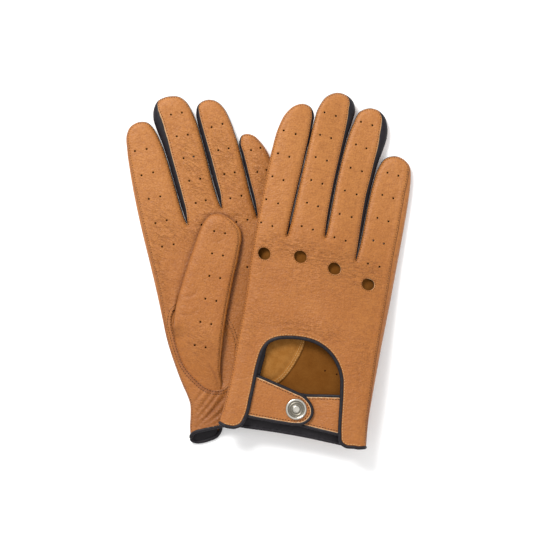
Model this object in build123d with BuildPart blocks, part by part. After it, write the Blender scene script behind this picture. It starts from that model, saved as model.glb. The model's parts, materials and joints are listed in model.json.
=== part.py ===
from build123d import *
from dataclasses import dataclass
from math import cos, radians, sin
import os

# A pair of unlined leather driving gloves, lying as a pair: the left glove rests on its back with
# its palm up, and the right glove rests on it with its palm down and drapes to the table beyond.
# Millimetres, +Z up, table at z = 0.  Plan coordinates of a glove: x runs from the index side to the
# little-finger side, y from the cuff to the fingertips.  Depth is counted from the palm's outer
# face (0) to the back's outer face (hand_depth); negative depths are where the thumb lies.

os.makedirs("parts", exist_ok=True)

# ---------------------------------------------------------------- driving dimensions
leather = 1.0            # thickness of the glove leather
hand_depth = 9.0         # outside thickness of the lying hand, palm face to back face
thumb_depth = 7.4        # thickness of the thumb folded over the palm
thumb_gap = 0.3          # clearance between the folded thumb and the palm
binding_width = 2.4      # bias binding on the cut-out and the cuff
strap_binding_width = 2.0
binding_depth = 7.6      # depth at which the back binding starts
proud = 0.4              # height of the upper glove's binding over its leather
window_arch = [(-9.8, 44.5, 20.6), (3.5, 41.5, 25.2)]    # x, y, radius of the window's rounded top
window_foot = [(-31.6, -30.0), (47.4, -30.0)]            # where its sides would end past the cuff

strap_depth = 6.5        # inner face of the snap flap
tab_depth = 4.2          # inner face of the tab that carries the stud
strap_binding_lap = 0.3  # the binding is this much thicker than the strap, each side
tab_binding_lap = 0.2
palm_binding_lap = 0.2
flap_start_x = -27.2     # the flap's free root edge, just clear of the window's binding

snap_at = (3.0, 17.3)
cap_radius = 7.25
cap_rim = 1.7
cap_floor = 0.6          # thickness of the recessed floor of the cap
cap_button_radius = 2.3
socket_radius = 5.0
socket_bore = 2.7
stud_radius = 2.5
rivet_radius = 1.5
flange_radius = 4.8
flange = 0.4             # thickness of the rivet's flange under the tab
stud_foot = 0.2          # thickness of the stud's foot on the tab
snap_slack = 0.2         # the stud's head stays this far below the flap
button_drop = 0.3        # the cap's button lies this far below its rim
rim_round = 0.5

drape_start = 54.0       # distance from the lower glove's axis to where the upper one bends down
drape_run = 84.0         # length over which it comes down to the table
rest_height = hand_depth + thumb_depth + 0.5   # palm face of the upper glove, on its own folded thumb

thumb_spine = [(-27.0, 48.0, 15.5), (-18.5, 88.5, 17.6), (3.5, 127.0, 15.8)]   # x, y, radius
thumb_window = [(-27.5, 46.5, 12.0), (-25.0, 56.0, 12.5)]
thumb_split = 22.0       # distance from the thumb's root to the line on which it lifts
thumb_lean = 15.7        # lean of the thumb from the glove's length, in degrees

flap_end = (4.0, 17.5, 11.5)
flap_root = [(-37.2, 4.2), (-37.2, 36.0)]    # where the flap's edges would start, past its root
tab_end = (3.6, 17.5, 10.4)
tab_root = [(33.2, 33.4), (38.2, 5.6)]
knuckle_size = (8.6, 7.8)
far = 400.0              # larger than the pair, for cutting


@dataclass
class Glove:
    side: str
    place: tuple         # position of the wrist point on the table
    turn: float          # turn about Z, in degrees
    palm_up: bool
    fingers: list        # root x, root y, root radius, tip x, tip y, tip radius
    crotches: list       # the palm's top edge, from the index side to the little-finger side
    index_edge: list     # side edges from cuff to knuckles
    little_edge: list
    knuckles: list       # centres of the knuckle holes
    back_cuff: tuple     # y of the back's cuff edge at the index side and at the little side
    palm_cuff: tuple

    def plan(self, z):
        direction = (cos(radians(self.turn)), sin(radians(self.turn)), 0)
        return Plane(origin=(*self.place, z), x_dir=direction, z_dir=(0, 0, 1))

    def height(self, depth):
        return hand_depth - depth if self.palm_up else rest_height + depth


left = Glove(
    side="left",
    place=(-2.72, -100.13),
    turn=15.6,
    palm_up=True,
    fingers=[
        (-31.3, 140.0, 14.3, -29.8, 206.5, 11.7),
        (-3.2, 145.0, 12.6, -4.4, 217.0, 12.3),
        (21.9, 140.0, 11.1, 22.0, 209.0, 11.0),
        (43.8, 132.0, 9.6, 43.2, 181.0, 9.3),
    ],
    crotches=[(-45.0, 138.0), (-16.6, 141.0), (10.0, 146.0), (33.4, 133.0), (52.6, 130.0)],
    index_edge=[(-52.5, -10.0), (-50.6, 7.0), (-46.8, 22.0), (-48.4, 38.0), (-50.2, 68.0),
                (-48.0, 100.0), (-46.4, 136.0)],
    little_edge=[(52.0, -10.0), (50.5, 20.0), (51.5, 60.0), (52.5, 100.0), (53.2, 128.0)],
    knuckles=[(-33.0, 127.0), (-4.0, 131.0), (21.0, 128.0), (42.0, 118.0)],
    back_cuff=(-3.0, -3.0),
    palm_cuff=(3.4, 1.6),
)

right = Glove(
    side="right",
    place=(12.48, -110.43),
    turn=-13.0,
    palm_up=False,
    fingers=[
        (-41.0, 130.0, 11.0, -41.2, 210.8, 11.2),
        (-17.3, 132.0, 12.0, -16.6, 222.4, 12.4),
        (7.2, 132.0, 11.4, 8.6, 217.8, 12.0),
        (34.2, 126.0, 14.2, 32.4, 189.8, 11.9),
    ],
    crotches=[(-51.0, 131.0), (-29.7, 131.0), (-4.8, 136.0), (19.4, 126.0), (48.0, 125.5)],
    index_edge=[(-46.2, -10.0), (-45.5, 15.0), (-46.8, 55.0), (-49.4, 100.0), (-51.6, 129.0)],
    little_edge=[(55.6, -10.0), (54.0, 12.0), (51.2, 50.0), (50.0, 90.0), (48.6, 124.0)],
    knuckles=[(-42.0, 115.7), (-17.5, 119.2), (7.0, 116.5), (32.0, 111.2)],
    back_cuff=(-3.4, 2.6),
    palm_cuff=(-3.4, 2.6),
)


# ---------------------------------------------------------------- plan outlines

def rounded(circles, edge=0.0):
    """The taut outline around a few circles, moved inwards by an edge width."""
    with BuildSketch() as outline:
        with BuildLine():
            for x, y, radius in circles:
                CenterArc((x, y), radius - edge, 0, 360)
        make_hull()
    return outline.sketch


def polygon(*corners):
    """A straight-sided outline whose corners are plan points."""
    with BuildSketch() as outline:
        with BuildLine():
            Polyline(*corners, close=True)
        make_face()
    return outline.sketch


def above(cuff):
    """The half of the plan that lies beyond a cuff edge."""
    index_y, little_y = cuff
    slope = (little_y - index_y) / 100.0
    low = index_y - slope * (far - 50.0)
    high = index_y + slope * (far + 50.0)
    return polygon((-far, low), (far, high), (far, far), (-far, far))


def shifted(cuff, distance):
    """The same cuff edge, moved towards the fingertips."""
    return cuff[0] + distance, cuff[1] + distance


def hand_outline(glove, edge=0.0):
    """Palm and four fingers in one outline, running on past the cuff, moved inwards by an edge width."""
    index_points = [(x + edge, y) for x, y in glove.index_edge]
    little_points = [(x - edge, y) for x, y in reversed(glove.little_edge)]
    top_points = [(x, y - edge) for x, y in glove.crotches]
    with BuildSketch() as hand:
        with BuildLine():
            index_side = Spline(*index_points)
            little_side = Spline(*little_points)
            Polyline(index_side @ 1, *top_points, little_side @ 0)
            Line(little_side @ 1, index_side @ 0)
        make_face()
        for root_x, root_y, root_radius, tip_x, tip_y, tip_radius in glove.fingers:
            add(rounded([(root_x, root_y, root_radius), (tip_x, tip_y, tip_radius)], edge))
    return hand.sketch


def window_outline(edge=0.0):
    """The window in the back, open at the cuff, moved inwards by an edge width."""
    index_corner, little_corner = window_foot
    with BuildSketch() as window:
        with BuildLine():
            for x, y, radius in window_arch:
                CenterArc((x, y), radius - edge, 0, 360)
            Line((index_corner[0] + edge, index_corner[1]), (little_corner[0] - edge, little_corner[1]))
        make_hull()
    return window.sketch


def flap_outline(edge):
    """The snap flap, moved inwards by an edge width except at its root."""
    x, y, radius = flap_end
    low, high = flap_root
    with BuildSketch() as flap:
        with BuildLine():
            CenterArc((x, y), radius - edge, 0, 360)
            Line((low[0], low[1] + edge), (high[0], high[1] - edge))
        make_hull()
        add(polygon((flap_start_x, -far), (flap_start_x, far), (-far, far), (-far, -far)), mode=Mode.SUBTRACT)
    return flap.sketch


def tab_outline(edge):
    """The tab under the flap, moved inwards by an edge width except at its root."""
    x, y, radius = tab_end
    high, low = tab_root
    with BuildSketch() as tab:
        with BuildLine():
            CenterArc((x, y), radius - edge, 0, 360)
            Line((high[0], high[1] - edge), (low[0], low[1] + edge))
        make_hull()
    return tab.sketch


def thumb_root_side(shift):
    """The half of the plan on the root side of the line on which the thumb lifts."""
    x, y, _ = thumb_spine[0]
    along = (sin(radians(thumb_lean)), cos(radians(thumb_lean)))
    across = (along[1], -along[0])
    reach = thumb_split + shift
    middle = (x + along[0] * reach, y + along[1] * reach)
    one = (middle[0] + across[0] * far, middle[1] + across[1] * far)
    other = (middle[0] - across[0] * far, middle[1] - across[1] * far)
    return polygon(one, other, (other[0] - along[0] * far, other[1] - along[1] * far),
                   (one[0] - along[0] * far, one[1] - along[1] * far))


def common(outline, region):
    """The part of an outline that lies in a region."""
    with BuildSketch() as kept:
        add(outline)
        add(region, mode=Mode.INTERSECT)
    return kept.sketch


def without(outline, *holes):
    """An outline with other outlines cut out of it."""
    with BuildSketch() as kept:
        add(outline)
        for hole in holes:
            add(hole, mode=Mode.SUBTRACT)
    return kept.sketch


def disc(centre, radius):
    """A round outline."""
    with BuildSketch() as round_outline:
        with Locations(centre):
            Circle(radius)
    return round_outline.sketch


# ---------------------------------------------------------------- layers in depth

def drape_sheet(low, high):
    """The slab between two depths of the upper glove: level on the lower glove, then an S down."""
    turn = radians(left.turn)
    section = Plane(origin=(*left.place, 0), x_dir=(cos(turn), sin(turn), 0), z_dir=(sin(turn), -cos(turn), 0))
    end = drape_start + drape_run
    with BuildPart() as sheet:
        with BuildSketch(section):
            with BuildLine():
                for depth in (low, high):
                    level = Line((-far, rest_height + depth), (drape_start, rest_height + depth))
                    middle = (drape_start + drape_run / 2, rest_height / 2 + depth)
                    over = TangentArc(level @ 1, middle, tangent=(1, 0))
                    TangentArc(middle, (end, depth), tangent=over % 1)
                    Line((end, depth), (far, depth))
                Line((-far, rest_height + low), (-far, rest_height + high))
                Line((far, low), (far, high))
            make_face()
        extrude(amount=far, both=True)
    return sheet.part


def layer(glove, outline, low, high):
    """A plan outline as a layer of a glove, between two depths."""
    with BuildPart() as slab:
        if glove.palm_up:
            with BuildSketch(glove.plan(glove.height(high))):
                add(outline)
            extrude(amount=high - low)
        else:
            with BuildSketch(glove.plan(low - 1.0)):
                add(outline)
            extrude(amount=rest_height + high - low + 2.0)
            add(drape_sheet(low, high), mode=Mode.INTERSECT)
    return slab.part


def save(glove, piece, name):
    """Write one sub-part of a glove under its own name."""
    piece.part.label = f"{glove.side}_{name}"
    export_step(piece.part, f"parts/{piece.part.label}.step")
    print(piece.part.label, len(piece.part.solids()), round(piece.part.volume, 1))


# ---------------------------------------------------------------- hand

def make_panels(glove):
    """The back with its window and knuckle holes, and the palm with the thumb's opening."""
    hand = hand_outline(glove)
    back = without(common(hand, above(glove.back_cuff)), window_outline())
    with BuildSketch() as holes:
        with Locations(*glove.knuckles):
            Ellipse(knuckle_size[0] / 2, knuckle_size[1] / 2)
    back_slab = layer(glove, without(back, holes.sketch), hand_depth - leather, hand_depth)
    with BuildPart() as back_panel:
        add(back_slab)
    save(glove, back_panel, "back_panel")

    palm = without(common(hand, above(glove.palm_cuff)), rounded(thumb_window))
    palm_slab = layer(glove, palm, 0.0, leather)
    with BuildPart() as palm_panel:
        add(palm_slab)
    save(glove, palm_panel, "palm_panel")


def make_side_walls(glove):
    """The strips that join back and palm: one at each side and a forked one between fingers."""
    hand = hand_outline(glove)
    wall_cuff = (max(glove.back_cuff[0], glove.palm_cuff[0]), max(glove.back_cuff[1], glove.palm_cuff[1]))
    wall = common(without(hand, hand_outline(glove, leather)), above(wall_cuff))
    axes = []
    for root_x, root_y, _, tip_x, tip_y, _ in glove.fingers:
        slope = (tip_x - root_x) / (tip_y - root_y)
        axes.append(((root_x - slope * root_y, 0.0), (root_x + slope * (far - root_y), far)))
    first, last = axes[0], axes[-1]
    regions = {"index_side_strip": polygon((-far, -far), (first[0][0], -far), *first, (-far, far)),
               "little_side_strip": polygon((far, -far), (last[0][0], -far), *last, (far, far))}
    names = ["fourchette_index_middle", "fourchette_middle_ring", "fourchette_ring_little"]
    for name, one, other in zip(names, axes, axes[1:]):
        regions[name] = polygon(one[0], one[1], other[1], other[0])
    for name, region in regions.items():
        strip_slab = layer(glove, common(wall, region), leather, hand_depth - leather)
        with BuildPart() as strip:
            add(strip_slab)
        save(glove, strip, name)


def make_bindings(glove):
    """The bias binding around the window and the back's cuff, and the one on the palm's cuff."""
    hand = hand_outline(glove)
    top = hand_depth if glove.palm_up else hand_depth + proud
    window = window_outline()
    rim = common(without(window, window_outline(binding_width)), above(shifted(glove.back_cuff, -binding_width)))
    hem_band = without(above(shifted(glove.back_cuff, -binding_width)), above(glove.back_cuff))
    hem = without(common(hand, hem_band), window)
    rim_slab = layer(glove, rim, binding_depth, top)
    hem_slab = layer(glove, hem, binding_depth, top)
    with BuildPart() as back_binding:
        add(rim_slab)
        add(hem_slab)
    save(glove, back_binding, "back_binding")

    palm_band = without(above(shifted(glove.palm_cuff, -binding_width)), above(glove.palm_cuff))
    palm_slab = layer(glove, common(hand, palm_band), -palm_binding_lap, leather + palm_binding_lap)
    with BuildPart() as palm_binding:
        add(palm_slab)
    save(glove, palm_binding, "palm_binding")


# ---------------------------------------------------------------- thumb

def make_thumb(glove):
    """The thumb's root, sewn over the palm's opening, and the tube that lifts off the palm."""
    outside = rounded(thumb_spine)
    inside = rounded(thumb_spine, leather)
    roof_inner = -(thumb_depth - leather)
    root_outline = common(outside, thumb_root_side(0.0))
    root_wall = common(without(outside, inside), thumb_root_side(0.0))
    root_roof_slab = layer(glove, root_outline, -thumb_depth, roof_inner)
    root_wall_slab = layer(glove, root_wall, roof_inner, 0.0)
    with BuildPart() as thumb_root:
        add(root_roof_slab)
        add(root_wall_slab)
    save(glove, thumb_root, "thumb_root")

    tube_outline = without(outside, thumb_root_side(thumb_gap))
    tube_wall = without(outside, inside, thumb_root_side(thumb_gap))
    front_slab = layer(glove, tube_outline, -thumb_depth, roof_inner)
    with BuildPart() as thumb_front:
        add(front_slab)
    save(glove, thumb_front, "thumb_front")

    floor_slab = layer(glove, tube_outline, -thumb_gap - leather, -thumb_gap)
    wall_slab = layer(glove, tube_wall, roof_inner, -thumb_gap - leather)
    with BuildPart() as thumb_gusset:
        add(floor_slab)
        add(wall_slab)
    save(glove, thumb_gusset, "thumb_gusset")


# ---------------------------------------------------------------- wrist strap and snap

def make_flap(glove):
    """The flap from the index side with its binding; it folds open on its root line."""
    hole = disc(snap_at, rivet_radius)
    flap_slab = layer(glove, without(flap_outline(strap_binding_width), hole), strap_depth, strap_depth + leather)
    with BuildPart() as strap_flap:
        add(flap_slab)
    save(glove, strap_flap, "strap_flap")

    rim_slab = layer(glove, without(flap_outline(0.0), flap_outline(strap_binding_width)),
                     strap_depth - strap_binding_lap, strap_depth + leather + strap_binding_lap)
    with BuildPart() as flap_binding:
        add(rim_slab)
    save(glove, flap_binding, "flap_binding")


def make_tab(glove):
    """The tab from the little-finger side, sewn under the binding, with its own binding."""
    window = window_outline(binding_width)
    hole = disc(snap_at, rivet_radius)
    plate = common(tab_outline(strap_binding_width), window_outline())
    seam = without(plate, window)
    plate_slab = layer(glove, without(plate, hole), tab_depth, tab_depth + leather)
    seam_slab = layer(glove, seam, tab_depth + leather, binding_depth)
    with BuildPart() as strap_tab:
        add(plate_slab)
        add(seam_slab)
    save(glove, strap_tab, "strap_tab")

    rim = common(without(tab_outline(0.0), tab_outline(strap_binding_width)), window)
    rim_slab = layer(glove, rim, tab_depth - tab_binding_lap, tab_depth + leather + tab_binding_lap)
    with BuildPart() as tab_binding:
        add(rim_slab)
    save(glove, tab_binding, "tab_binding")


def make_snap(glove):
    """The press snap: cap and socket on the flap, stud and rivet on the tab."""
    face = strap_depth + leather
    base = layer(glove, disc(snap_at, cap_radius), face, face + cap_floor)
    rim = layer(glove, without(disc(snap_at, cap_radius), disc(snap_at, cap_radius - cap_rim)), face, hand_depth)
    button = layer(glove, disc(snap_at, cap_button_radius), face, hand_depth - button_drop)
    shank = layer(glove, disc(snap_at, rivet_radius), strap_depth, face)
    with BuildPart() as snap_cap:
        add(base)
        add(rim)
        add(button)
        add(shank)
        outer = snap_cap.edges().filter_by(GeomType.CIRCLE).filter_by(lambda e: abs(e.radius - cap_radius) < 0.01)
        top = outer.sort_by(Axis.Z)[0] if glove.palm_up else outer.sort_by(Axis.Z)[-1]
        fillet(top, rim_round)
    save(glove, snap_cap, "snap_cap")

    ring = layer(glove, without(disc(snap_at, socket_radius), disc(snap_at, socket_bore)),
                 strap_depth - leather, strap_depth)
    with BuildPart() as snap_socket:
        add(ring)
    save(glove, snap_socket, "snap_socket")

    tab_face = tab_depth + leather
    stud_flange = layer(glove, disc(snap_at, flange_radius), tab_face, tab_face + stud_foot)
    stud_head = layer(glove, disc(snap_at, stud_radius), tab_face + stud_foot, strap_depth - snap_slack)
    with BuildPart() as snap_stud:
        add(stud_flange)
        add(stud_head)
    save(glove, snap_stud, "snap_stud")

    rivet = layer(glove, disc(snap_at, rivet_radius), tab_depth, tab_face)
    rivet_flange = layer(glove, disc(snap_at, flange_radius), tab_depth - flange, tab_depth)
    with BuildPart() as snap_rivet:
        add(rivet)
        add(rivet_flange)
    save(glove, snap_rivet, "snap_rivet")


for glove in (left, right):
    make_panels(glove)
    make_side_walls(glove)
    make_bindings(glove)
    make_thumb(glove)
    make_flap(glove)
    make_tab(glove)
    make_snap(glove)
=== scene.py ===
import json
import math
import random
import bpy
import numpy as np
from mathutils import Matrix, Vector, noise
from mathutils.geometry import delaunay_2d_cdt
from mathutils.kdtree import KDTree


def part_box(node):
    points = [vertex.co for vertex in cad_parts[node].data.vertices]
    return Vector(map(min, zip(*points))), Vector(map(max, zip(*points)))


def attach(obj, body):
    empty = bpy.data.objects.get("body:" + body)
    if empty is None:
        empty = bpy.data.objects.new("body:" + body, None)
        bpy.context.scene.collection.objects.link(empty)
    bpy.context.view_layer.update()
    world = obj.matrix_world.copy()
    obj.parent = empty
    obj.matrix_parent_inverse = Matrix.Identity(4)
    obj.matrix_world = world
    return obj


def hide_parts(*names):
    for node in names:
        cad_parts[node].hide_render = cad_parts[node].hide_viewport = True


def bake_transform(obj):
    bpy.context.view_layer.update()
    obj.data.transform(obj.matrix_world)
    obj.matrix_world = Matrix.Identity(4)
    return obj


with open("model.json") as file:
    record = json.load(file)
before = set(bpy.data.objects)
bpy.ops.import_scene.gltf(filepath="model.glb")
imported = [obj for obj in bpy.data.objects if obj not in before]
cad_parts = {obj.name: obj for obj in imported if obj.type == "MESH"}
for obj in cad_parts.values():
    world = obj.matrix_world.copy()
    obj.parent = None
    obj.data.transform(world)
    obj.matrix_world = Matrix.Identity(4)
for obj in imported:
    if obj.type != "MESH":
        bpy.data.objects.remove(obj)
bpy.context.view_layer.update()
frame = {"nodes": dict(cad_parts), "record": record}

# A pair of leather driving gloves. Plan coordinates are millimetres in each glove's own plan: x from
# the index side to the little-finger side, y from the cuff to the fingertips. Heights are millimetres
# over the surface that a glove lies on; `place` turns both into metres in the CAD frame.

MM = 0.001
joints = {joint["name"]: joint for joint in frame["record"]["behaviour"]["joints"]}

# ------------------------------------------------------------------ driving sizes (mm)
depth = (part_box("left_palm_panel")[1][2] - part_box("left_back_panel")[0][2]) / MM   # a lying hand
rest_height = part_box("right_back_panel")[1][2] / MM - depth                        # under the upper glove
drape_start = 54.0              # where the upper glove starts to come down to the table
drape_run = 84.0                # and over what length
leather = 0.95
side_leather = 0.75
facing_leather = 0.6
rim_height = depth / 2
hand_round = 7.0                # radius over which the hand's edge rolls over
grid = 1.05
curve_step = 0.9
floor_gap = 0.05                # nothing lies lower than this over the table
on_line = 0.02                  # a point this near a line stands on it

binding_width = 2.5
binding_height = 2.0
strap_binding = 2.1
plain_side = 0.4                # width of side leather that shows where none is given
plain_thumb = 0.3
perforation = 0.66              # radius
near_hole = 0.9                 # points this near the middle of a perforation are on its rim
knuckle_hole = 4.5
knuckle_squash = 0.9

hinge_plan = (-27.5, 19.0)      # where the strap hinge stands in a glove's plan
snap_plan = (3.0, 17.3)
flap_depth = 7.45               # from the palm's outer face
tab_depth = 5.2
thumb_height = 7.2              # thumb over the palm
thumb_root = (-27.0, 48.0)
thumb_hinge = (-21.05, 69.18)
thumb_lean = math.radians(15.7)
thumb_bend = 11                 # the thumb bends over this length each side of its hinge

# Stitches: pitch, length and radius of the thread.
seam_stitch = (1.7, 1.0, 0.18)
edge_stitch = (1.9, 1.3, 0.22)
knuckle_stitch = (1.45, 0.7, 0.12)
ring_stitch = (1.9, 1.25, 0.20)
inner_stitch = (1.7, 1.15, 0.16)
strap_stitch = (2.0, 1.35, 0.21)
thumb_stitch = (1.6, 0.95, 0.14)


# ------------------------------------------------------------------ glove tables
class Glove:
    """One glove, and where its plan lies in the CAD frame."""
    def __init__(self, side, back_up):
        self.side = side
        self.back_up = back_up
        self.out = 1 if back_up else -1     # the way its back faces
        joint = joints[side + "_strap_hinge"]
        self.ydir = np.array(joint["axis"][:2]) * -float(self.out)
        self.xdir = np.array([self.ydir[1], -self.ydir[0]])
        hinge = np.array(joint["pos_m"][:2]) / MM
        self.origin = hinge - hinge_plan[0] * self.xdir - hinge_plan[1] * self.ydir


right = Glove("right", True)
left = Glove("left", False)

# Silhouettes are runs of (x, y, visible width of the side leather there), one for each finger. A width
# that is left out is plain_side.
right.silhouette = [
    [(-46.4, -12), (-46.2, -3), (-45.6, 12), (-45.7, 32), (-46.6, 52), (-48.2, 85), (-50.4, 110),
     (-51.6, 132), (-52.6, 160), (-52.9, 186), (-52.0, 202), (-49.2, 212.5), (-44.5, 219),
     (-38.5, 221.8), (-33.6, 220.6, .5), (-30.3, 216.4, 1.6), (-29.6, 208, 1.4), (-29.65, 185, .8),
     (-29.65, 158, .8), (-29.7, 140, .6), (-29.6, 131.5)],
    [(-29.6, 131.5), (-29.3, 138), (-29.3, 160), (-29.35, 190), (-29.3, 210), (-28.3, 222), (-24.2, 231),
     (-17.5, 235), (-10.5, 234.3, .6), (-5.8, 231.2, 3.4), (-3.3, 226, 5.0), (-3.5, 218, 4.0),
     (-4.5, 207, 2.6), (-5.05, 190, 2.0), (-5.1, 172, 1.8), (-4.5, 152, 1.6), (-4.2, 142, 1.0),
     (-4.0, 136.6)],
    [(-4.0, 136.6), (-3.9, 143), (-4.2, 156), (-4.85, 176), (-4.6, 198), (-2.8, 216), (0.2, 226),
     (6.5, 229.8), (12.6, 229.4, .5), (17.4, 226.3, 2.6), (20.7, 220.5, 4.8), (22.2, 212.5, 5.6),
     (21.5, 203.5, 4.4), (20.3, 195, 3.3), (19.55, 184, 2.6), (19.4, 170, 2.7), (19.9, 150, 2.1),
     (20.1, 134, 1.1), (20.0, 126)],
    [(20.0, 126), (20.5, 134), (20.25, 150), (19.75, 166), (19.85, 180), (20.9, 190), (24.4, 198.4),
     (31, 201.6), (37.4, 200.4), (41.8, 197, .9), (44.4, 189.5, 2.3), (45.9, 179, 3.6), (47, 165, 4.0),
     (47.8, 150, 4.1), (48.4, 135, 4.2), (49.3, 112, 3.6), (49.9, 95, 3.4), (50.4, 74, 2.9),
     (51.1, 55, 2.3), (51.9, 37, 1.6), (53, 20, 1.0), (54.6, 8, .5), (55.4, 2.6), (55.8, -12)],
]
left.silhouette = [
    [(-53.2, -12), (-52.5, -1), (-50.9, 7), (-48.4, 14.5), (-46.6, 22), (-47.0, 29), (-48.2, 37),
     (-49.4, 50), (-50.1, 68, .5), (-49.2, 84, 1.5), (-48.2, 100, 2.3), (-47.3, 122, 2.3),
     (-46.6, 145, 2.3), (-45.5, 165, 2.2), (-43.6, 186, 1.8), (-41.4, 202, 1.2), (-38.9, 212, .6),
     (-35.2, 216.6), (-30.8, 218.2), (-26.2, 218), (-22.8, 216.4), (-20.3, 212.7), (-18.7, 207.5),
     (-17.5, 200), (-16.7, 188), (-16.5, 170), (-16.4, 155), (-16.1, 147), (-15.3, 141.6)],
    [(-15.3, 141.6), (-15.75, 149, 2.5), (-16.1, 162, 3.5), (-16.15, 177, 3.7), (-16.35, 190, 4.0),
     (-17.0, 201, 5.0), (-18.1, 210.5, 6.0), (-18.2, 218, 5.9), (-15.8, 224.8, 3.4), (-11.8, 228.9, .6),
     (-7.5, 229.9), (-2, 229.5), (3, 227.6), (6.4, 223.7), (8.6, 217), (9.7, 208.5), (10.0, 196),
     (9.8, 178), (9.4, 162), (9.7, 152), (10.4, 146)],
    [(10.4, 146), (10.1, 153, 2.4), (9.9, 167, 3.3), (10.15, 182, 3.3), (10.3, 196, 3.0),
     (10.3, 206, 3.0), (11.3, 214, 2.4), (13.8, 218.5, .9), (17.2, 220.2), (21.5, 220.4), (25.3, 218.9),
     (28.4, 216), (30.7, 211.5), (32.3, 204), (33.2, 192), (33.2, 178), (32.7, 163), (32.2, 148),
     (32.6, 133.4)],
    [(32.6, 133.4), (32.6, 142, 1.7), (33.0, 159, 1.9), (33.55, 177, 1.9), (34.4, 186.5, 1.2),
     (37.6, 190.5), (41, 190.5), (45, 188.2), (48.3, 183.2), (50.8, 176.6), (52.4, 167), (53.2, 154),
     (53.3, 138), (52.8, 118), (52.0, 95), (51.2, 60), (50.6, 25), (51.8, -1), (52.2, -12)],
]
# The edge of the back's wrist cut-out and cuff, and of the palm's cuff.
right.window = [(-46.2, -3.3), (-40, -3.5), (-35.6, -3.0), (-32.4, -0.8), (-30.8, 4), (-30.3, 20),
                (-30.5, 44), (-29.6, 52), (-26.4, 58.6), (-21.5, 62.3), (-14, 64.9), (-4, 66.4),
                (4, 66.3), (12, 64.1), (19.5, 59.6), (26, 52.4), (29.7, 45), (31.6, 37), (33.4, 27),
                (35.2, 16), (37, 7.5), (38.6, 3.0), (41, 1.6), (47, 2.1), (55.5, 2.6)]
left.window = [(-52.6, -1.0), (-51.6, -2.6), (-48, -3.8), (-41, -4.2), (-35.8, -3.4), (-32.7, -0.8),
               (-31.0, 4), (-30.6, 20), (-30.8, 44), (-29.4, 53), (-25.5, 59.4), (-20, 63.1),
               (-12, 65.6), (-3, 66.5), (5, 66.0), (13, 63.6), (20, 59), (26, 52.2), (29.7, 45),
               (32, 36), (33.8, 26), (35.6, 14), (37.2, 4), (39.5, -1.2), (44, -2.9), (52, -3)]
right.palm_cuff = [(-46.2, -3.3), (-30, -2.2), (-10, -0.4), (10, 0.8), (30, 1.2), (42, 1.3), (55.5, 2.6)]
left.palm_cuff = [(-52.6, -1.0), (-51.2, 1.5), (-48.2, 2.7), (-43, 2.7), (-34, 2.1), (-20, 1.2), (10, 0),
                  (52, -3)]
# Knuckle holes: x, y, tilt in degrees.
right.knuckles = [(-42, 115.7, -35), (-17.5, 119.2, -25), (7, 116.5, -20), (32, 111.2, -10)]
left.knuckles = [(-34, 121, 20), (-6, 126, 10), (19, 124, 5), (41, 115, 0)]
# The palm's thumb opening.
oval = [(-40.4, 86), (-34, 88.5), (-24, 87.5), (-15, 82), (-9, 74), (-6.5, 65), (-6, 57), (-7, 50),
        (-9, 43), (-12.2, 35), (-16.4, 28.6), (-20, 26.2), (-24.4, 25.7), (-29.6, 27.3), (-34, 31),
        (-38, 37), (-41.2, 43), (-43.6, 50), (-44.5, 60), (-44.5, 70), (-43.4, 80.5)]
opening = {"left": np.array(oval, float), "right": np.array(oval, float) + (1.4, 5.5)}
# The thumb's outline as (x, y, visible width of its rear leather there), first where it is sewn
# into the palm's opening, then its free edge. A width that is left out is plain_thumb.
thumb_sewn = [(-24.2, 24.5), (-30.3, 26.3), (-35, 30.3), (-39.1, 36.5), (-42.3, 42.7), (-44.7, 49.8),
              (-45.5, 59), (-45.1, 67)]
thumb_free = [(-43.2, 75.5), (-39.4, 85.6), (-34.4, 95.2), (-29.2, 103.6), (-22.6, 114), (-15, 125),
              (-8.4, 134.4), (-3, 140.4), (2, 143.2), (8, 142.4, .4), (13.4, 138, 1.2),
              (17.4, 132.4, 1.8), (18.9, 128, 2.0), (18.2, 122, 2.0), (15, 115, 2.0), (11, 107, 1.9),
              (6, 98, 1.9), (0.2, 86.6, 1.9), (-5, 76, 1.9), (-10, 65, 1.8), (-14.6, 54, 1.6),
              (-18.6, 44, 1.2), (-21.0, 36, .7), (-22.2, 29.0, .4)]
# Top x, y, bottom x, y and count of the thumb's perforations.
thumb_holes = (4.9, 130.1, -29.0, 58.4, 6)

# Rows of paired holes: top x, y, bottom x, y, rows, spacing across.
finger_holes = {
    ("right", "back"): [(-43.8, 200.2, -45.0, 135.4, 5, 8.2), (-19.4, 219.2, -17.2, 139.6, 6, 8.0),
                        (6.2, 218.7, 6.4, 137.3, 6, 8.1), (31.7, 188.9, 32.8, 124.9, 5, 7.9)],
    ("left", "palm"): [(-32.2, 199.2, -31.7, 130.8, 5, 8.1), (-1.9, 216.8, -2.0, 138.2, 6, 7.4),
                       (22.8, 201.3, 21.8, 133.5, 5, 7.6), (44.2, 178.5, 44.6, 131.5, 4, 6.6)],
    ("right", "palm"): [(-41.0, 199.0, -41.0, 133.0, 5, 8.1), (-17.5, 217.0, -17.5, 138.0, 6, 7.8),
                        (6.6, 215.0, 6.6, 136.0, 6, 7.8), (32.0, 186.0, 32.0, 126.0, 5, 7.6)],
    ("left", "back"): [(-30.5, 198.0, -30.5, 138.0, 5, 8.0), (-3.0, 214.0, -3.0, 142.0, 6, 8.0),
                       (22.0, 203.0, 22.0, 139.0, 5, 8.0), (43.5, 178.0, 43.5, 130.0, 4, 7.4)],
}
palm_dots = [(16.7, 102), (24.8, 46.5), (16.5, 47)]

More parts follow.
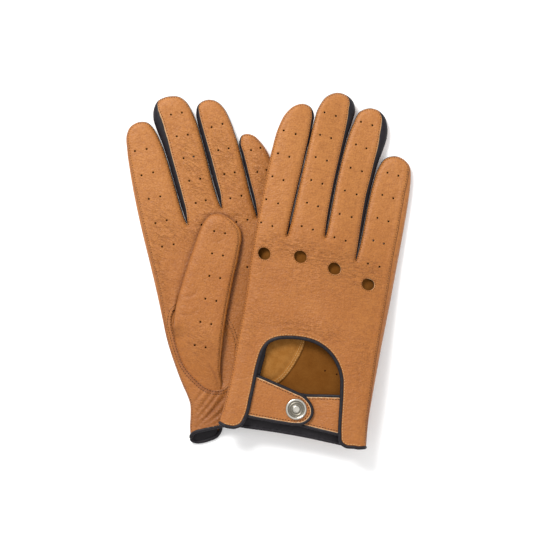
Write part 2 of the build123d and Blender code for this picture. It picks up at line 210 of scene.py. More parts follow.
# Folds are (points, depth, width) on the named face.
creases = {
    ("right", "back"): [
        ([(-39, 131), (-33, 126.5), (-25, 124.5), (-14, 125.5)], .42, .9),
        ([(-36, 134), (-34, 130), (-30, 127.5)], .3, .8),
        ([(-46, 124), (-40, 126), (-33, 131)], .25, .9),
        ([(-25, 128.5), (-17, 130), (-9, 129)], .25, .8),
        ([(-8, 123), (0, 126), (9, 125), (17, 121.5)], .3, .9),
        ([(-7, 131), (-1, 132.5), (6, 130.5)], .2, .8), ([(12, 128), (19, 121.5), (27, 120)], .3, .9),
        ([(14, 111), (22, 108.5), (27, 109)], .2, .8), ([(24, 121), (33, 120), (41, 122)], .22, .9),
        ([(-24, 65.5), (-12, 69.5), (4, 70.6), (18, 66)], .22, .8),
        ([(-26, 69), (-10, 73.5), (8, 73)], .16, .9), ([(-44, 72), (-37, 66), (-34, 56)], .16, 1.2),
        ([(36, 60), (40, 48), (43, 34)], .14, 1.3)],
    ("left", "palm"): [
        ([(-20, 23), (-33, 13), (-48, 5.0)], .85, 1.5), ([(-17, 17), (-30, 9.5), (-46, 4.0)], .7, 1.2),
        ([(-23, 26), (-33, 18.5), (-46, 9)], .7, 1.3), ([(-28, 27.5), (-37, 20), (-46, 14)], .6, 1.2),
        ([(-14, 21), (-21, 12), (-31, 6)], .5, 1.1), ([(-33, 29.5), (-40, 25), (-46, 20)], .4, 1.1),
        ([(-18, 11), (-30, 5.5), (-44, 3.2)], .4, .9), ([(-25, 21), (-34, 13), (-45, 6.6)], .3, .8),
        ([(-33, 97), (-37.5, 88), (-43.8, 81)], .9, 1.1),
        ([(-47, 79), (-44.5, 84), (-43.5, 92)], .3, 1.0), ([(-18, 137), (-10, 133.5), (0, 134)], .2, .9),
        ([(2, 141), (12, 138), (24, 139)], .2, .9), ([(-47, 60), (-46.7, 50), (-45, 40)], .25, 1.0)],
    ("right", "palm"): [([(-40, 105), (0, 100), (44, 96)], .3, 1.8),
                        ([(-25, 24), (-33, 15), (-40, 6)], .5, 1.4)],
    ("left", "back"): [([(-40, 110), (-10, 113), (20, 110)], .3, 1.4)],
}
# Fine wrinkles gather round (x, y, half width, half height, amount); the last number is all over.
wrinkled = {
    ("right", "back"): ([(-25, 124, 16, 9, .9), (4, 122, 16, 9, 1.0), (27, 118, 14, 9, 1.0),
                         (-5, 104, 40, 12, .4), (0, 72, 30, 7, .8), (-40, 66, 8, 22, .5),
                         (40, 55, 8, 25, .4), (-44, 120, 6, 12, .6)], .16),
    ("left", "palm"): ([(0, 176, 9, 28, 1.0), (22, 176, 9, 26, 1.0), (-33, 148, 9, 18, .7),
                        (44, 160, 7, 20, .8), (-2, 136, 30, 9, .9), (-45, 112, 7, 20, 1.0),
                        (-36, 16, 18, 14, .35), (-5, 100, 12, 26, .5)], .22),
    ("right", "palm"): ([(0, 118, 40, 14, .8)], .2),
    ("left", "back"): ([(0, 118, 40, 14, .8)], .2),
}
wrinkle_angle = {"right": math.radians(4), "left": math.radians(-42)}

# Fine wrinkles and folds of the thumb.
thumb_wrinkled = ([(-30, 66, 14, 16, .5), (4, 132, 14, 8, .5), (-12, 108, 12, 14, .3)], .15)
thumb_creases = [([(-33, 96), (-28, 93.5), (-20, 95)], .3, 1.2),
                 ([(-38, 84), (-30, 81.5), (-22, 83.5)], .22, 1.3),
                 ([(-6, 127), (1, 124.5), (9, 125)], .22, 1.2),
                 ([(-27.5, 47), (-24.8, 38), (-24.6, 27)], .55, 1.1),
                 ([(-36, 62), (-30, 60), (-22, 63)], .16, 1.4)]

# The free edges of the strap's two ends.
flap_line = [(-36.5, 35.6), (-27.5, 34.4), (-15, 32.2), (0, 29.3), (6.2, 27.9), (11, 24.8), (14.4, 20.6),
             (15.3, 16.2), (13.6, 11.2), (9.6, 7.6), (4, 6.0), (-4, 5.3), (-14, 4.7), (-27.5, 4.2),
             (-36.5, 4.0)]
tab_line = [(39.5, 5.8), (30, 6.0), (20, 6.0), (8, 6.2), (0, 7.0), (-5, 10.5), (-7.4, 16), (-7, 21.5),
            (-4, 26.2), (2, 28.4), (8, 29.0), (20, 31.5), (30.5, 33.6), (38.5, 34.8)]
# The snap's cap as (radius, depth from the palm's outer face), and the radii of its recess.
cap_profile = [(6.6, 7.5), (7.1, 7.55), (7.25, 7.8), (7.25, 8.3), (7.1, 8.7), (6.75, 8.95), (6.3, 9.0),
               (5.85, 8.9), (5.6, 8.6), (5.5, 8.2), (5.3, 8.08), (4.6, 8.05), (4.45, 8.25), (4.25, 8.3),
               (4.05, 8.25), (3.9, 8.05), (3.0, 8.08), (2.7, 8.25), (2.45, 8.6), (2.1, 8.78),
               (1.2, 8.88), (0.3, 8.9)]
recess_ring = (2.6, 5.55)

strips = ["index_side_strip", "fourchette_index_middle", "fourchette_middle_ring", "fourchette_ring_little",
          "little_side_strip"]


# ------------------------------------------------------------------ curves in plan
def smooth(points, closed=False, step=curve_step):
    """A smooth curve through points of any dimension, resampled at an even step."""
    p = np.array(points, float)
    if closed:
        p = np.vstack([p, p[:1]])
    chord = np.linalg.norm(np.diff(p[:, :2], axis=0), axis=1)
    slope = np.diff(p, axis=0) / chord[:, None]
    tangent = np.empty_like(p)
    weight = chord[1:] / (chord[1:] + chord[:-1])
    tangent[1:-1] = slope[:-1] * weight[:, None] + slope[1:] * (1 - weight)[:, None]
    if closed:
        blend = chord[0] / (chord[0] + chord[-1])
        tangent[0] = tangent[-1] = slope[-1] * blend + slope[0] * (1 - blend)
    else:
        tangent[0], tangent[-1] = slope[0], slope[-1]
    out = []
    for i, length in enumerate(chord):
        count = max(1, int(round(length / step)))
        t = (np.arange(count) / count)[:, None]
        h00, h10 = 2 * t**3 - 3 * t**2 + 1, t**3 - 2 * t**2 + t
        h01, h11 = -2 * t**3 + 3 * t**2, t**3 - t**2
        out.append(h00 * p[i] + h10 * length * tangent[i] + h01 * p[i + 1] + h11 * length * tangent[i + 1])
    if not closed:
        out.append(p[-1:])
    return np.vstack(out)


def closed_row(row):
    """The row with its first point again at its end."""
    return np.concatenate([row, row[:1]])


def normals_2d(line, closed=False):
    """Unit normals on the right-hand side of a plan curve."""
    along = np.roll(line, -1, axis=0) - np.roll(line, 1, axis=0) if closed else np.gradient(line, axis=0)
    along /= np.maximum(np.linalg.norm(along, axis=1), 1e-9)[:, None]
    return np.column_stack([along[:, 1], -along[:, 0]])


def circle(x, y, radius, count=12, stretch=1.0, tilt=0.0):
    a = np.arange(count) * 2 * np.pi / count
    u, v = radius * np.cos(a), radius * stretch * np.sin(a)
    c, s = math.cos(math.radians(tilt)), math.sin(math.radians(tilt))
    return np.column_stack([x + c * u - s * v, y + s * u + c * v])


def inside(points, polygon):
    """Whether each plan point lies in a closed polygon."""
    x, y = points[:, 0], points[:, 1]
    result = np.zeros(len(points), bool)
    for (x0, y0), (x1, y1) in zip(polygon, np.roll(polygon, -1, axis=0)):
        if y0 != y1:
            result ^= ((y0 > y) != (y1 > y)) & (x < (x1 - x0) * (y - y0) / (y1 - y0) + x0)
    return result


def tree_of(points):
    """A search tree over plan points."""
    tree = KDTree(len(points))
    for i, (x, y) in enumerate(points):
        tree.insert((x, y, 0), i)
    tree.balance()
    return tree


def distance(points, line):
    """Distance of each plan point to a plan curve, and how far along the curve (0 to 1) it is."""
    tree = tree_of(line[:, :2])
    nearest = np.array([tree.find((x, y, 0))[1] for x, y in points[:, :2]], int)
    best = np.full(len(points), 1e9)
    where = np.zeros(len(points))
    for shift in (-1, 0):
        i = np.clip(nearest + shift, 0, len(line) - 2)
        a, b = line[i, :2], line[i + 1, :2]
        ab = b - a
        t = np.einsum("ij,ij->i", points[:, :2] - a, ab) / np.maximum(np.einsum("ij,ij->i", ab, ab), 1e-12)
        t = np.clip(t, 0, 1)
        d = np.linalg.norm(a + ab * t[:, None] - points[:, :2], axis=1)
        closer = d < best
        best = np.where(closer, d, best)
        where = np.where(closer, (i + t) / (len(line) - 1), where)
    return best, where


def triangulate(lines, loops, spacing, area, fine=(), fine_steps=(0.22, 0.6, 1.1)):
    """Plan points and counter-clockwise triangles that follow every given line and loop."""
    points, edges = [], []
    for row, closed in [(line, False) for line in lines] + [(loop, True) for loop in loops]:
        first, count = len(points), len(row)
        points += [tuple(p[:2]) for p in row]
        edges += [(first + i, first + (i + 1) % count) for i in range(count if closed else count - 1)]
    tree = tree_of(points)
    (x0, y0), (x1, y1) = area
    free = []
    for row in range(int((y1 - y0) / (spacing * 0.866)) + 1):
        y = y0 + row * spacing * 0.866
        free += [(x, y) for x in np.arange(x0 + (row % 2) * spacing / 2, x1, spacing)]
    for line in fine:
        side = normals_2d(line[:, :2])
        for step in fine_steps:
            free += [tuple(p) for p in line[:, :2] + side * step]
    rng = random.Random(7)
    kept = [(x + rng.uniform(-.04, .04), y + rng.uniform(-.04, .04)) for x, y in free
            if tree.find((x, y, 0))[2] > 0.2 * spacing]
    verts, _, faces, *_ = delaunay_2d_cdt([Vector(p) for p in points + kept], edges, [], 0, 1e-6)
    verts = np.array([tuple(v) for v in verts])
    tris = np.array([(face[0], face[i], face[i + 1]) for face in faces for i in range(1, len(face) - 1)])
    a, b, c = verts[tris[:, 0]], verts[tris[:, 1]], verts[tris[:, 2]]
    area2 = (b[:, 0] - a[:, 0]) * (c[:, 1] - a[:, 1]) - (b[:, 1] - a[:, 1]) * (c[:, 0] - a[:, 0])
    tris[area2 < 0] = tris[area2 < 0][:, ::-1]
    return verts, tris[np.abs(area2) > 1e-7]


def cut(verts, tris, edge, holes=()):
    """The triangles inside an edge and outside every hole."""
    centre = verts[tris].mean(axis=1)
    keep = inside(centre, edge)
    for loop in holes:
        near = ((centre > loop.min(axis=0)) & (centre < loop.max(axis=0))).all(axis=1)
        keep[near] &= ~inside(centre[near], loop)
    return tris[keep]


# ------------------------------------------------------------------ heights
def drape(world):
    """Height of the surface under the upper glove at world plan points (mm)."""
    out = (world - left.origin) @ left.xdir - drape_start
    turn = 2 * math.atan(rest_height / drape_run)
    radius = drape_run / (2 * math.sin(turn))
    first = rest_height - radius + np.sqrt(radius**2 - np.clip(out, 0, drape_run / 2)**2)
    second = radius - np.sqrt(radius**2 - np.clip(drape_run - out, 0, drape_run / 2)**2)
    return np.where(out < drape_run / 2, first, second)


def place(glove, plan, height):
    """Plan points and heights over the glove's bed, in metres in the CAD frame."""
    plan = np.asarray(plan, float)[:, :2]
    world = glove.origin + plan[:, :1] * glove.xdir + plan[:, 1:2] * glove.ydir
    base = drape(world) if glove.back_up else np.zeros(len(world))
    return np.column_stack([world, np.maximum(base + height, floor_gap)]) * MM


def lift(glove, w):
    """Height over the bed of a depth w measured from the palm's outer face."""
    return w if glove.back_up else depth - w


def faces_up(glove, face):
    return (face == "back") == glove.back_up


def spacing_of(up):
    """Upper faces have the finer mesh."""
    return grid if up else grid * 1.6


def roll(d, rim, radius=hand_round, power=2.3):
    """How far a rolled edge lies under the flat, at a distance from the silhouette."""
    f = np.clip(d / radius, 0, 1)
    return rim * (1 - (1 - (1 - f)**power)**(1 / power))


def crease_relief(plan, lines):
    """Raised and sunken relief of listed folds."""
    total = np.zeros(len(plan))
    for points, deep, width in lines:
        curve = smooth(points, step=0.7)
        near = np.abs(plan - curve.mean(axis=0)).max(axis=1) < 45
        if not near.any():
            continue
        d, where = distance(plan[near], curve)
        valley = -deep * np.exp(-(d / (0.75 * width))**2)
        ridge = 0.5 * deep * np.exp(-((d - 1.8 * width) / (1.2 * width))**2)
        total[near] += (valley + ridge) * np.sin(np.pi * np.clip(where, 0, 1))**0.8
    return total


def fold_shade(folds):
    """How dark a fold's valley is, from 0 to 1."""
    return np.clip(-folds / 0.6, 0, 1)


def soft_relief(plan, seed, amount=1.0):
    """Slow waves and small unevenness of soft leather."""
    out = np.empty(len(plan))
    for i, (x, y) in enumerate(plan[:, :2]):
        out[i] = (0.42 * noise.noise((x / 19, y / 26, seed))
                  + 0.17 * noise.noise((x / 6.5, y / 7.5, seed + 5))
                  + 0.06 * noise.noise((x / 2.4, y / 2.2, seed + 9)))
    return out * amount


def wrinkle_mask(plan, fields):
    """How wrinkled the leather is at plan points, from 0 to 1."""
    patches, everywhere = fields
    mask = np.full(len(plan), everywhere)
    for x, y, rx, ry, amount in patches:
        mask += amount * np.exp(-((plan[:, 0] - x) / rx)**2 - ((plan[:, 1] - y) / ry)**2)
    return np.clip(mask, 0, 1)


def wrinkle_lay(glove, plan):
    """Plan coordinates turned along the glove's fine wrinkles."""
    c, s = math.cos(wrinkle_angle[glove.side]), math.sin(wrinkle_angle[glove.side])
    return np.column_stack([plan[:, 0] * c + plan[:, 1] * s, plan[:, 1] * c - plan[:, 0] * s])


def wrinkle_relief(lay, mask, seed):
    """Fine wrinkles: narrow valleys that wander along the lay."""
    out = np.zeros(len(lay))
    for i in np.nonzero(mask > 0.1)[0]:
        u, v = lay[i]
        bend = 1.5 * noise.noise((u / 9, v / 9, seed + 3))
        n = noise.noise((u / 10, (v + bend) / 2.7, seed))
        m = noise.noise((u / 16, (v + bend) / 5.0, seed + 7))
        out[i] = mask[i] * (0.10 - 0.22 * math.exp(-(n / .3)**2) - 0.16 * math.exp(-(m / .25)**2))
    return out


def seam(glove, face, extra=0.0):
    """Where a face is sewn to the side leather, or a line further in by `extra`."""
    width = glove.side_up if faces_up(glove, face) else glove.side_down
    return glove.outline + glove.inward * (width + extra)[:, None]


def cuff_line(glove, face):
    return smooth(glove.window if face == "back" else glove.palm_cuff)


def face_relief(glove, face, plan):
    """Folds, whole relief and amount of fine wrinkles of a face at plan points."""
    key = glove.side, face
    seed = 3.0 + 7.0 * (face == "back") + 17.0 * glove.back_up
    folds = crease_relief(plan, creases[key])
    mask = wrinkle_mask(plan, wrinkled[key])
    fine = wrinkle_relief(wrinkle_lay(glove, plan), mask, seed + 2)
    gap, where = distance(plan, seam(glove, face))
    pull = 0.75 + 0.5 * np.sin(where * 410.0) * np.sin(where * 97.0)
    edge = 0.20 * np.exp(-((gap - 2.3) / 1.1)**2) - 0.16 * np.exp(-((gap - 0.75) / 0.5)**2) \
        - 0.14 * np.exp(-((gap - 4.8) / 1.6)**2)
    return folds, folds + fine + edge * pull + soft_relief(plan, seed), mask


def palm_lift(plan, d):
    """The thumb folded under the upper glove pushes its palm up towards the back of the hand."""
    return 4.4 * np.exp(-((plan[:, 1] - 114) / 24)**2) * np.clip((d - 3) / 9, 0, 1)


def wrist_sink(plan):
    """The lower glove's wrist sags a little towards its open cuff, away from the corner."""
    x, y = plan[:, 0], plan[:, 1]
    return 1.6 * np.exp(-((y - 14) / 14)**2) * np.clip((x + 46) / 26, 0, 1)


def surface(glove, face, plan, out=0.0, relief=None):
    """Height of a face's outer surface, or of a level `out` mm above it, at plan points."""
    d, _ = distance(plan, glove.outline)
    out = out - roll(d, rim_height)
    if relief is not None:
        out = out + relief * np.clip(d / 5.0, 0, 1)
    if face == "palm":
        out = out - (palm_lift(plan, d) if glove.back_up else wrist_sink(plan))
    return depth + out if faces_up(glove, face) else -out


def thumb_levels(plan):
    """Levels over the palm of the thumb's outer and under surface, and the thumb's full height there."""
    inner = inside(plan, thumb_edge)
    free = np.where(inner, distance(plan, thumb_edge_free)[0], 0)
    sewn = distance(plan, thumb_edge_sewn)[0]
    reach = (plan - np.array(thumb_root)) @ thumb_along
    grow = np.clip((reach + 22) / 44, 0, 1)
    grow = grow * grow * (3 - 2 * grow)
    tip = np.clip((100 - reach) / 34, 0, 1)**0.5
    full = 1.0 + (thumb_height - 1.0) * grow * (0.80 + 0.20 * tip)
    crown = 1 - roll(free, 1.0, 8.0, 2.1)
    top = full * 0.5 * (1 + crown)
    under = full * 0.5 * (1 - crown)
    rise = np.clip((sewn - 1.2) / 15, 0, 1)
    rise = np.sin(rise * math.pi / 2)**1.15
    bed = -1.15 + 0.65 * np.clip(sewn / 1.2, 0, 1)
    slope = bed + (full + 0.5) * rise
    blend = 1.2
    low = np.minimum(top, slope) - 0.25 * blend * np.clip(1 - np.abs(top - slope) / blend, 0, 1)**2
    return low, np.minimum(under, low - 0.9), full


def thumb_place(glove, plan, level):
    """World points at a level over the palm's outer surface."""
    return place(glove, plan, surface(glove, "palm", plan, level))


def tab_slope(plan):
    """The tab rises to its seam under the right side of the cut-out."""
    t = np.clip((plan[:, 0] - 12) / 20, 0, 1)
    return 2.2 * t * t * (3 - 2 * t)


def no_slope(plan):
    return np.zeros(len(plan))


# ------------------------------------------------------------------ mesh helpers
def vertex_normals(verts, tris):
    a, b, c = verts[tris[:, 0]], verts[tris[:, 1]], verts[tris[:, 2]]
    n = np.cross(b - a, c - a)
    out = np.zeros_like(verts)
    for k in range(3):
        np.add.at(out, tris[:, k], n)
    return out / np.maximum(np.linalg.norm(out, axis=1), 1e-15)[:, None]


def sheet(glove, verts, tris, heights, up, *values):
    """World points, outward triangles, plan points and further values of an upper or lower face."""
    used, index = np.unique(tris, return_inverse=True)
    tris = index.reshape(tris.shape)
    world = place(glove, verts[used], heights[used])
    return (world, tris if up else tris[:, ::-1], verts[used], *[value[used] for value in values])


def weld(verts, tris, plan):
    """Join vertices that stand at the same place."""
    key = np.round(verts / (0.02 * MM)).astype(np.int64)
    _, first, index = np.unique(key, axis=0, return_index=True, return_inverse=True)
    tris = index.reshape(-1)[tris]
    good = (tris[:, 0] != tris[:, 1]) & (tris[:, 1] != tris[:, 2]) & (tris[:, 0] != tris[:, 2])
    return verts[first], tris[good], plan[first]


def ribbon(rings):
    """Quads, as triangles, through rings of points."""
    rings = np.stack(rings, axis=1)
    n, m = rings.shape[:2]
    index = np.arange(n * m).reshape(n, m)
    a, b, c, d = index[:-1, :-1], index[1:, :-1], index[1:, 1:], index[:-1, 1:]
    tris = np.concatenate([np.stack([a, b, c], -1).reshape(-1, 3), np.stack([a, c, d], -1).reshape(-1, 3)])
    return rings.reshape(-1, 3), tris


def thicken(verts, tris, thickness, lip=None, shaded_rim=None):
    """A closed skin: the given outer face, an inner face and the rims between them.

    Kinds are 0 outer, 1 inner, 2 rim and 3 the rim at the vertices that the fifth argument marks, where the
    panels and the thumb take painted shade for holes and seam cracks. lip (mm, per vertex) pushes the inner
    edge outwards, so that a cut edge shows from above."""
    n = vertex_normals(verts, tris)
    inner = verts - n * thickness * MM
    count = len(verts)
    edges = np.vstack([tris[:, [0, 1]], tris[:, [1, 2]], tris[:, [2, 0]]])
    _, inverse, counts = np.unique(np.sort(edges, axis=1), axis=0, return_inverse=True, return_counts=True)
    rim = edges[counts[inverse.reshape(-1)] == 1]
    if lip is not None:
        side = np.cross(verts[rim[:, 1]] - verts[rim[:, 0]], n[rim[:, 0]])
        push = np.zeros_like(verts)
        np.add.at(push, rim[:, 0], side)
        np.add.at(push, rim[:, 1], side)
        push /= np.maximum(np.linalg.norm(push, axis=1), 1e-12)[:, None]
        inner += push * lip[:, None] * MM
    faces = [tuple(t) for t in tris]
    faces += [(t[2] + count, t[1] + count, t[0] + count) for t in tris]
    faces += [(b, a, a + count, b + count) for a, b in rim]
    kinds = [0] * len(tris) + [1] * len(tris)
    kinds += [3 if shaded_rim is not None and shaded_rim[a] else 2 for a, _ in rim]
    return np.vstack([verts, inner]), faces, kinds


def make_object(name, verts, faces, materials, kinds=None, plan=None, shade=None, crinkle=None, lay=None):
    """A mesh object in the CAD frame, with plan position, fold shade and wrinkles kept for its materials."""
    mesh = bpy.data.meshes.new(name)
    mesh.from_pydata([tuple(v) for v in verts], [], [tuple(int(i) for i in f) for f in faces])
    for material in materials:
        mesh.materials.append(material)
    if kinds is not None:
        kinds = np.minimum(np.array(kinds), len(materials) - 1).astype(np.int32)
        mesh.polygons.foreach_set("material_index", kinds)
    mesh.polygons.foreach_set("use_smooth", [True] * len(mesh.polygons))
    own = np.asarray(verts) / MM
    plan = own if plan is None else np.column_stack([plan, own[:, 2]])
    lay = plan if lay is None else np.column_stack([lay, plan[:, 2]])
    none = np.zeros(len(verts))
    for title, values in (("plan", plan), ("shade", none if shade is None else shade),
                          ("crinkle", none if crinkle is None else crinkle), ("lay", lay)):
        kind, field = ("FLOAT_VECTOR", "vector") if values.ndim == 2 else ("FLOAT", "value")
        layer = mesh.attributes.new(title, kind, "POINT")
        layer.data.foreach_set(field, values.astype(np.float32).ravel())
    mesh.validate()
    mesh.update()
    obj = bpy.data.objects.new(name, mesh)
    bpy.context.scene.collection.objects.link(obj)
    return obj


class Bundle:
    """Several meshes gathered into one piece."""
    def __init__(self):
        self.verts, self.faces, self.count = [], [], 0

    def add(self, verts, faces):
        self.verts.append(verts)
        self.faces += [tuple(i + self.count for i in f) for f in faces]
        self.count += len(verts)

    def build(self, name, material):
        return make_object(name, np.vstack(self.verts), self.faces, [material])


def tube_faces(rings, sides):
    """Faces of a bar through rings of points, with both ends closed."""
    faces = []
    for i in range(rings - 1):
        for k in range(sides):
            m = (k + 1) % sides
            faces.append((i * sides + k, i * sides + m, (i + 1) * sides + m, (i + 1) * sides + k))
    return faces + [tuple(range(sides))[::-1], tuple(range((rings - 1) * sides, rings * sides))]


def sweep(path, half_width, half_height, taper=False):
    """A bar of rounded section along a path of world points (m); its flat side lies level."""
    sides, power = 12, 2.6
    along = np.gradient(path, axis=0)
    along /= np.linalg.norm(along, axis=1)[:, None]
    side = np.column_stack([along[:, 1], -along[:, 0], np.zeros(len(path))])
    side /= np.maximum(np.linalg.norm(side, axis=1), 1e-9)[:, None]
    up = np.cross(side, along)
    angle = np.arange(sides) * 2 * np.pi / sides
    c, s = np.cos(angle), np.sin(angle)
    u = np.sign(c) * np.abs(c)**(2 / power)
    v = np.sign(s) * np.abs(s)**(2 / power)
    scale = np.ones(len(path))
    if taper:
        scale[0] = scale[-1] = 0.55
    rings = (path[:, None, :] + (side[:, None, :] * (u * half_width * MM)[None, :, None]
             + up[:, None, :] * (v * half_height * MM)[None, :, None]) * scale[:, None, None])
    return rings.reshape(-1, 3), tube_faces(len(path), sides)


def stitch(centre, along, out, length, thick):
    """One stitch: a short thread that dips into the leather at both ends."""
    along = along / np.linalg.norm(along)
    side = np.cross(along, out)
    side /= np.linalg.norm(side)
    up = np.cross(side, along)
    verts = []
    for t, r, drop in [(-.5, .45, -.6), (-.3, 1, 0.0), (.3, 1, 0.0), (.5, .45, -.6)]:
        for k in range(6):
            a = k * math.pi / 3
            verts.append(centre + (along * t * length + side * math.cos(a) * r * thick
                                   + up * (math.sin(a) * r + drop) * thick) * MM)
    return np.array(verts), tube_faces(4, 6)


def stitch_row(bundle, path, out, size):
    """Stitches at an even pitch along a path of world points (m); out is +1 on an upper face."""
    pitch, length, thick = size
    path = np.array(path)
    path[:, 2] = np.maximum(path[:, 2], thick * MM)
    out = np.array([0, 0, float(out)])
    run = np.concatenate([[0], np.cumsum(np.linalg.norm(np.diff(path, axis=0), axis=1))]) / MM
    for s in np.arange(pitch / 2, run[-1], pitch):
        here, ahead, behind = (np.array([np.interp(s + e, run, path[:, k]) for k in range(3)])
                               for e in (0, .3, -.3))
        if np.linalg.norm(ahead - behind) > 1e-7:
            bundle.add(*stitch(here, ahead - behind, out, length, thick))


# ------------------------------------------------------------------ materials
def socket(sockets, name=None):
    """The first socket in use, or the first of that name."""
    return next(item for item in sockets if item.enabled and name in (None, item.name))


class Look:
    """A procedural material built around one Principled shader. Sizes are in mm."""
    def __init__(self, name, colour, roughness, metallic=0.0, sheen=0.0, specular=0.5, on_metal=False):
        self.material = bpy.data.materials.new(name)
        self.material.use_nodes = True
        self.tree = self.material.node_tree
        self.shader = self.tree.nodes["Principled BSDF"]
        self.fill(self.shader, {"Base Color": (*colour, 1), "Roughness": roughness, "Metallic": metallic,
                                "Sheen Weight": sheen, "Specular IOR Level": specular})
        self.height = None
        if on_metal:
            position = self.node("ShaderNodeTexCoord").outputs["Object"]
            scaled = self.node("ShaderNodeMapping", {"Vector": position, "Scale": (1 / MM,) * 3})
            self.plan = scaled.outputs["Vector"]
        else:
            self.plan = self.stored("plan", "Vector")

    def fill(self, node, inputs):
        """Sets a node's inputs to values, or links them to outputs."""
        for key, value in inputs.items():
            item = node.inputs[key] if isinstance(key, int) else socket(node.inputs, key)
            if isinstance(value, bpy.types.NodeSocket):
                self.tree.links.new(value, item)
            else:
                item.default_value = value

    def node(self, kind, inputs=None, **settings):
        node = self.tree.nodes.new(kind)
        for key, value in settings.items():
            setattr(node, key, value)
        self.fill(node, inputs or {})
        return node

    def maths(self, operation, a, b):
        return self.node("ShaderNodeMath", {0: a, 1: b}, operation=operation).outputs[0]

    def stored(self, title, kind="Fac"):
        """A value that the mesh carries."""
        return self.node("ShaderNodeAttribute", attribute_name=title).outputs[kind]

    def noise(self, scale, detail=2.0, rough=0.5, distortion=0.0, at=None):
        """Noise whose features are about `scale` across."""
        return self.node("ShaderNodeTexNoise", {
            "Vector": self.plan if at is None else at, "Scale": 1 / scale, "Detail": detail,
            "Roughness": rough, "Distortion": distortion}).outputs["Fac"]

    def cells(self, scale):
        """Leather pebbles about `scale` across: how far a point is from the middle of its pebble."""
        warp = self.node("ShaderNodeTexNoise", {"Vector": self.plan, "Scale": 1 / (scale * 1.7)})
        mix = self.node("ShaderNodeMix", data_type="VECTOR")
        self.fill(mix, {"Factor": 0.12, "A": self.plan, "B": warp.outputs["Color"]})
        return self.node("ShaderNodeTexVoronoi", {"Vector": socket(mix.outputs), "Scale": 1 / scale},
                         feature="F1").outputs["Distance"]

    def ripples(self, along, across):
        """Noise drawn out along the leather's lay; `along` and `across` are its sizes."""
        scale = (1 / along, 1 / across, 1 / along)
        stretch = self.node("ShaderNodeMapping", {"Vector": self.stored("lay", "Vector"), "Scale": scale})
        return self.noise(1.0, 2.5, 0.5, 0.9, stretch.outputs["Vector"])

    def lengthwise(self):
        """How far up the hand, from the cuff."""
        return self.node("ShaderNodeSeparateXYZ", {0: self.plan}).outputs["Y"]

    def wrinkled(self, value):
        """A value that only counts where the leather is wrinkled."""
        return self.maths("MULTIPLY", value, self.stored("crinkle"))

    def ramp(self, value, low, high):
        return self.node("ShaderNodeMapRange",
                         {"Value": value, "From Min": low, "From Max": high}).outputs["Result"]

    def tint(self, value, colour, amount):
        """Blend the colour towards another one where value is high."""
        base = self.shader.inputs["Base Color"]
        below = base.links[0].from_socket if base.is_linked else base.default_value
        factor = self.maths("MULTIPLY", value, amount)
        mix = self.node("ShaderNodeMix", data_type="RGBA")
        self.fill(mix, {"A": below, "B": (*colour, 1), "Factor": factor})
        self.tree.links.new(socket(mix.outputs), base)

    def bump(self, value, height):
        """Add relief of the given height."""
        relief = self.maths("MULTIPLY", value, height * MM)
        self.height = relief if self.height is None else self.maths("ADD", self.height, relief)

    def done(self):
        if self.height is not None:
            bump = self.node("ShaderNodeBump", {"Strength": 1.0, "Distance": 1.0, "Height": self.height})
            self.tree.links.new(bump.outputs["Normal"], self.shader.inputs["Normal"])
        return self.material


def noisy(name, colour, roughness, tints, bumps, **kind):
    """A material whose patches of colour and relief are noise.

    tints are (noise, low, high, colour, amount) and bumps are (noise, height)."""
    look = Look(name, colour, roughness, **kind)
    for grain, low, high, other, amount in tints:
        look.tint(look.ramp(look.noise(*grain), low, high), other, amount)
    for grain, height in bumps:
        look.bump(look.noise(*grain), height)
    return look.done()


def tan_leather():
    look = Look("tan_lambskin", (0.328, 0.109, 0.0185), 0.46, specular=0.32)
    look.tint(look.ramp(look.noise(24, 2), 0.35, 0.75), (0.372, 0.136, 0.028), 0.8)
    look.tint(look.ramp(look.lengthwise(), 95, 185), (0.44, 0.180, 0.047), 0.55)
    look.tint(look.ramp(look.noise(3.2, 3), 0.42, 0.78), (0.25, 0.078, 0.015), 0.45)
    look.tint(look.ramp(look.noise(0.85, 2, 0.6), 0.50, 0.72), (0.20, 0.058, 0.010), 0.5)
    look.tint(look.ramp(look.noise(0.7, 2, 0.6), 0.55, 0.75), (0.48, 0.21, 0.065), 0.4)
    # painted shade: darker in the valleys of the ripples' relief
    look.tint(look.ramp(look.ripples(4.2, 0.9), 0.48, 0.34), (0.19, 0.056, 0.010), 0.26)
    # painted shade carried by the mesh: fold valleys, seam cracks, the thumb's edge and the wrist
    look.tint(look.stored("shade"), (0.15, 0.042, 0.010), 0.6)
    # painted shade: darker in the valleys of the fine wrinkles
    look.tint(look.wrinkled(look.ramp(look.ripples(3.6, 1.2), 0.50, 0.34)), (0.16, 0.045, 0.009), 0.35)
    look.bump(look.noise(0.5, 3, 0.6), 0.09)
    look.bump(look.ramp(look.cells(1.25), 0.75, 0.1), 0.13)
    look.bump(look.ripples(4.2, 0.9), 0.27)
    look.bump(look.noise(2.4, 2, 0.5, 1.0), 0.15)
    look.bump(look.wrinkled(look.ramp(look.ripples(3.6, 1.2), 0.38, 0.55)), 0.30)
    return look.done()


def thread(name, colour, light):
    return noisy(name, colour, 0.85, [((0.5, 2), 0.4, 0.7, light, 0.6)], [((0.22, 1), 0.05)], specular=0.08)


